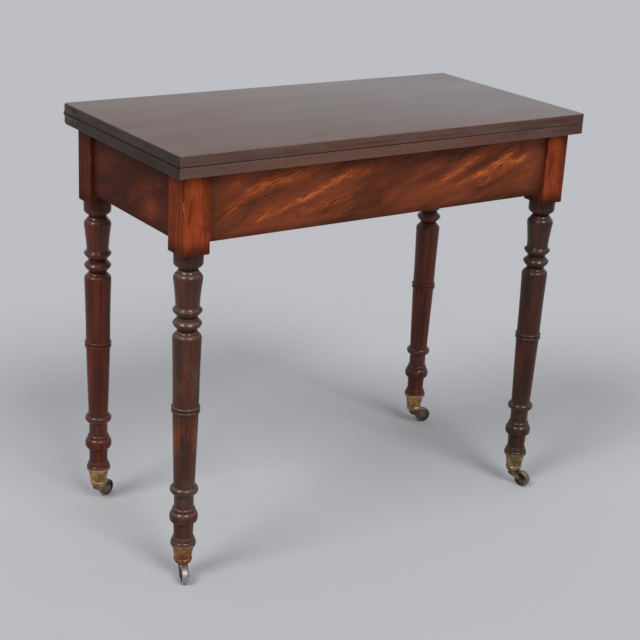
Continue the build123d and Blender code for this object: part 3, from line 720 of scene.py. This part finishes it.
def leaf_finish():
    material, tree = new_finish("leaf_mahogany", Coat_Roughness=0.28, Specular_IOR_Level=0.1)
    place = place_of(tree)
    x, y, z = split(tree, place)
    facing = split(tree, normal_of(tree))
    flat = unsigned(tree, facing[2])
    endwise = unsigned(tree, facing[0])
    fibre = fibres(tree, place, 0, 240, 5)
    band = bands(tree, place, 0, 11, 1.4)
    cloud = noise(tree, stretched(tree, place, (5, 8, 8)), detail=4, roughness=0.6)
    flecks = pores(tree, place, 0, 1300, 70)
    patchy = noise(tree, stretched(tree, place, (14, 14, 60), shift=(1, 0, 0)), detail=3)
    under = span(tree, z, leaf_joint - joint_blend, leaf_joint + joint_blend, 1, 0)

    face = face_colour(tree, x, y, band, cloud, fibre, flecks)
    edge = edge_colour(tree, x, z, under, fibre, patchy)
    end = end_colour(tree, y, under, patchy)
    side = mixed(tree, span(tree, endwise, 0.5, 0.9), edge, end)
    colour = mixed(tree, span(tree, flat, 0.55, 0.9), side, face)
    colour = mixed(tree, corner_rub(tree, place, z, flat), colour, rubbed_pale)
    colour = mixed(tree, crack_shade(tree, z, flat, endwise), colour, crack_black)

    polish = span(tree, flat, 0.55, 0.9, 0.32, 0.5)
    feed(
        material,
        Base_Color=colour,
        Roughness=span(tree, cloud, 0.3, 0.7, 0.36, 0.5),
        Coat_Weight=times(tree, polish, span(tree, endwise, 0.5, 0.9, 1, 0.35)),
        Normal=raised(tree, minus(tree, fibre, flecks), 0.00004),
    )
    return material


wear(leaf_finish(), "upper_leaf", "lower_leaf")

# %% [markdown]
# Behind the veneer the frame is plain pine, as it is on most tables of this kind. It has broad
# soft growth bands, fine fibres, and years of dust. One grain direction would run across
# some of the boards, so there is one finish for each direction.

# %% Finish of the pine boards
pine_tones = (screen(150, 112, 72), screen(116, 78, 46))
pine_grain = screen(92, 62, 38)
pine_dust = screen(108, 84, 60)


def pine_finish(along):
    material, tree = new_finish("old_pine_along_" + "xyz"[along], Specular_IOR_Level=0.3)
    place = place_of(tree)
    ring = bands(tree, place, along, 70, 2.2)
    fibre = fibres(tree, place, along, 420, 10)
    dust_and_sheen = noise(tree, stretched(tree, place, (7, 7, 7)), detail=4)
    colour = mixed(tree, span(tree, ring, 0.4, 0.62), *pine_tones)
    colour = mixed(tree, span(tree, fibre, 0.4, 0.75, 0, 0.4), colour, pine_grain)
    colour = mixed(tree, span(tree, dust_and_sheen, 0.4, 0.7, 0.1, 0.55), colour, pine_dust)
    feed(
        material,
        Base_Color=colour,
        Roughness=span(tree, fibre, 0.2, 0.8, 0.62, 0.8),
        Normal=raised(tree, fibre, 0.00015),
    )
    return material


wear(
    pine_finish(0),
    "front_rail", "rear_rail", "well_floor", "front_well_cleat", "rear_well_cleat", "stop_block",
)
wear(pine_finish(1), "left_rail", "right_rail", "pivot_bearer", "well_partition")

# %% [markdown]
# Old metal is never one colour. Brass goes olive and brown where hands don't reach, and stays
# golden where they do. A real tarnish map would need every dent, but two sizes of noise between
# three tones give the same mottled skin, and each metal is only its tones and its roughness.

# %% Finishes of the metal fittings
metals = {
    "ruddy_cup_brass": ((100, 52, 32), (146, 90, 56), (168, 124, 80), 0.38),
    "olive_cup_brass": ((82, 70, 46), (134, 113, 74), (162, 139, 98), 0.38),
    "golden_cup_brass": ((100, 78, 50), (168, 132, 84), (202, 162, 114), 0.36),
    "tarnished_hinge_brass": ((36, 32, 24), (64, 58, 40), (92, 84, 58), 0.45),
    "dark_iron": ((46, 42, 40), (72, 66, 62), (96, 88, 82), 0.5),
    "dark_castor_bronze": ((58, 48, 40), (106, 89, 74), (142, 124, 106), 0.4),
}
wheel_bronze = ((56, 48, 42), (102, 89, 80), (136, 123, 114), 0.4)


def metal_finish(name, deep, tone, bright, roughness):
    """Tarnished metal, from its deepest to its brightest tone as a screen shows them."""
    deep, tone, bright = screen(*deep), screen(*tone), screen(*bright)
    material, tree = new_finish(name, Metallic=0.9)
    place = place_of(tree)
    patch = noise(tree, stretched(tree, place, (70, 70, 70)), detail=5, roughness=0.65)
    fine = noise(tree, stretched(tree, place, (600, 600, 600)), detail=2)
    colour = mixed(tree, span(tree, patch, 0.35, 0.6), tone, bright)
    colour = mixed(tree, span(tree, patch, 0.62, 0.4, 0, 0.5), colour, deep)
    colour = mixed(tree, span(tree, fine, 0.55, 0.75, 0, 0.5), colour, deep)
    feed(
        material,
        Base_Color=colour,
        Roughness=span(tree, patch, 0.3, 0.7, roughness + 0.1, roughness - 0.06),
        Normal=raised(tree, fine, 0.00006),
    )
    return material


metal = {name: metal_finish(name, *look) for name, look in metals.items()}
corners = tuple(leg_looks)
wear(metal["ruddy_cup_brass"], "castor_cup_front_left")
wear(metal["olive_cup_brass"], "castor_cup_front_right")
wear(metal["golden_cup_brass"], "castor_cup_rear_left", "castor_cup_rear_right")
wear(
    metal["dark_iron"],
    "castor_cup_screws", "bearer_screws", "pivot_plate", "pivot_plate_screws",
    "pivot_bolt", "pivot_washer", "pivot_nut", "stop_block_screw",
)
wear(metal["dark_castor_bronze"], *["castor_fork_" + corner for corner in corners])
wear(metal["dark_castor_bronze"], *["castor_axle_" + corner for corner in corners])
wear(
    metal["tarnished_hinge_brass"],
    "lower_hinge_screws", "lower_hinge_arm_left", "lower_hinge_arm_right",
    "upper_hinge_screws", "upper_hinge_arm_left", "upper_hinge_arm_right",
    "hinge_pin_left", "hinge_pin_right",
)

# %% [markdown]
# The castor wheels are dark bronze like their forks, but the floor has rubbed their treads to
# another tone, the front left one almost to silver. A tread is simply what lies farthest from
# the middle of its wheel, so the distance from that middle finds it.

# %% Finish of the castor wheels
tread_depth = 0.001
treads = {
    "front_left": screen(164, 163, 161), "front_right": screen(126, 119, 104),
    "rear_left": screen(110, 98, 90), "rear_right": screen(110, 98, 94),
}


def wheel_finish(corner, tread):
    """Dark bronze whose tread is rubbed to another colour."""
    material = metal_finish("castor_wheel_" + corner, *wheel_bronze)
    tree = material.node_tree
    bronze = main_socket(material, "Base_Color").links[0].from_socket
    low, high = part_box("castor_wheel_" + corner)
    wires = {0: place_of(tree), 1: (low + high) / 2}
    away = put(tree, "VectorMath", wires, operation="DISTANCE").outputs["Value"]
    radius = (high.z - low.z) / 2
    rubbed = span(tree, away, radius - tread_depth, radius)
    feed(material, Base_Color=mixed(tree, rubbed, bronze, tread))
    return material


for corner, tread in treads.items():
    wear(wheel_finish(corner, tread), "castor_wheel_" + corner)

# %% [markdown]
# The playing cloth is green baize, glued into a shallow recess in the inner face of each leaf.
# Its colour is a nap of fine noise over a faint weave, with paler worn patches, and sheen gives
# the soft light of wool at a low angle, which roughness alone can't.

# %% Green baize
baize_green = (screen(34, 74, 48), screen(52, 98, 64))
baize_weave = screen(28, 62, 42)
baize_worn = screen(88, 112, 74)


def baize_finish():
    material, tree = new_finish(
        "green_baize", Sheen_Weight=0.5, Sheen_Roughness=0.5, Specular_IOR_Level=0.2, Roughness=0.9
    )
    place = place_of(tree)
    nap = noise(tree, stretched(tree, place, (900, 900, 900)), detail=3, roughness=0.7)
    weave = noise(tree, stretched(tree, place, (260, 1600, 400)), detail=2)
    worn = noise(tree, stretched(tree, place, (6, 6, 6), shift=(4, 2, 0)), detail=4)
    colour = mixed(tree, span(tree, nap, 0.35, 0.65), *baize_green)
    colour = mixed(tree, span(tree, weave, 0.5, 0.7, 0, 0.35), colour, baize_weave)
    colour = mixed(tree, span(tree, worn, 0.5, 0.7, 0, 0.45), colour, baize_worn)
    feed(material, Base_Color=colour, Normal=raised(tree, nap, 0.0003))
    return material


baize = baize_finish()
print(baize.name, "is ready for both cloths")

# %% [markdown]
# A cloth could be dropped and simulated, but glue holds this one flat. So it is modelled as a
# real sheet: a grid that is nudged a little up and down, as glued wool is, thickened, and
# rounded along its cut edge. It shows only when the table is open.

# %% The two playing cloths
grid_along, grid_across = 140, 68
cloth_thickness = 0.0007
cloth_lift = 0.0001
ripple_height = 0.00004
cut_edge_radius = 0.0002
smooth_angle = math.radians(40)


def ripple(x, y):
    """How far the wool stands up at a place, from 0 to 2, in waves that cross."""
    return 1 + math.sin(31 * x + 7 * y) * math.sin(23 * y - 11 * x)


def lay_cloth(name, node, body, face_up):
    """Lays one cloth where its CAD solid is, with its nap on the open side."""
    low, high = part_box(node)
    size, middle = high - low, (high + low) / 2
    base = low.z + cloth_lift if face_up else high.z - cloth_lift
    bpy.ops.object.select_all(action="DESELECT")
    bpy.ops.mesh.primitive_grid_add(
        x_subdivisions=grid_along, y_subdivisions=grid_across,
        size=1, location=(middle.x, middle.y, base),
    )
    cloth = bpy.context.object
    cloth.name = name
    cloth.scale = (size.x, size.y, 1)
    bpy.ops.object.transform_apply(location=True, rotation=True, scale=True)
    sign = 1 if face_up else -1
    for point in cloth.data.vertices:
        point.co.z += sign * ripple_height * ripple(point.co.x, point.co.y)
    if not face_up:
        bpy.ops.object.mode_set(mode="EDIT")
        bpy.ops.mesh.select_all(action="SELECT")
        bpy.ops.mesh.flip_normals()
        bpy.ops.object.mode_set(mode="OBJECT")
    thicken = cloth.modifiers.new("thickness", "SOLIDIFY")
    thicken.thickness = cloth_thickness
    thicken.offset = 1
    bpy.ops.object.modifier_apply(modifier="thickness")
    soften = cloth.modifiers.new("cut edge", "BEVEL")
    soften.width = cut_edge_radius
    soften.segments = 2
    soften.limit_method = "ANGLE"
    bpy.ops.object.modifier_apply(modifier="cut edge")
    bpy.ops.object.shade_smooth_by_angle(angle=smooth_angle)
    cloth.data.materials.append(baize)
    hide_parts(node)
    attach(cloth, body)
    print(name, "has", len(cloth.data.polygons), "faces")


lay_cloth("lower_baize", "lower_cloth", "lower_top", True)
lay_cloth("upper_baize", "upper_cloth", "upper_top", False)

# %% [markdown]
# The studio is a pale floor under a pale sky, with two large soft lamps, one on each side of the
# camera. Their twin reflections run down every ring of the legs. A brighter sky would give the
# same pale picture but wash the wood out. So camera, mirror and glass rays see a plain backdrop
# colour, while the light that falls on the table is a little weaker.

# %% Floor and sky
floor_size = 80
floor_colour = screen(202, 203, 206)
sky_colour = screen(196, 197, 201)
sky_light = 0.62

bpy.ops.object.select_all(action="DESELECT")
bpy.ops.mesh.primitive_plane_add(size=floor_size)
floor = bpy.context.object
floor.name = "studio_floor"
floor_material = new_finish(
    "studio_floor", Base_Color=floor_colour, Roughness=0.9, Specular_IOR_Level=0.1
)[0]
floor.data.materials.append(floor_material)

world = bpy.data.worlds.new("studio_sky")
bpy.context.scene.world = world
world.use_nodes = True
sky_tree = world.node_tree
backdrop = sky_tree.nodes["Background"]
rays = put(sky_tree, "LightPath").outputs
seen = larger(sky_tree, rays["Is Camera Ray"], rays["Is Glossy Ray"])
seen = larger(sky_tree, seen, rays["Is Transmission Ray"])
backdrop.inputs["Color"].default_value = sky_colour
sky_tree.links.new(span(sky_tree, seen, 0, 1, sky_light, 1), backdrop.inputs["Strength"])
print("the sky lights the table at", sky_light)

# %% [markdown]
# A small lamp would draw a hard spot on each ring and a hard shadow on the floor. A sun with a
# wide angle gives broad soft highlights and the same light at every distance.

# %% Lamps
# Each lamp is its heading round the table and its height over the horizon, in degrees.
lamp_places = {"lamp_left": (-169, 48), "lamp_right": (-89, 48)}
lamp_power = 1.1
lamp_spread = math.radians(24)
lamp_distance = 3

for name, (heading, rise) in lamp_places.items():
    level = math.cos(math.radians(rise))
    towards = Vector((
        math.cos(math.radians(heading)) * level,
        math.sin(math.radians(heading)) * level,
        math.sin(math.radians(rise)),
    ))
    bpy.ops.object.light_add(type="SUN", location=towards * lamp_distance)
    lamp = bpy.context.object
    lamp.name = name
    lamp.data.energy = lamp_power
    lamp.data.angle = lamp_spread
    lamp.rotation_euler = towards.to_track_quat("Z", "Y").to_euler()
    print(name, "shines from", [round(v, 2) for v in lamp.location])

bpy.context.scene.view_settings.view_transform = "Standard"
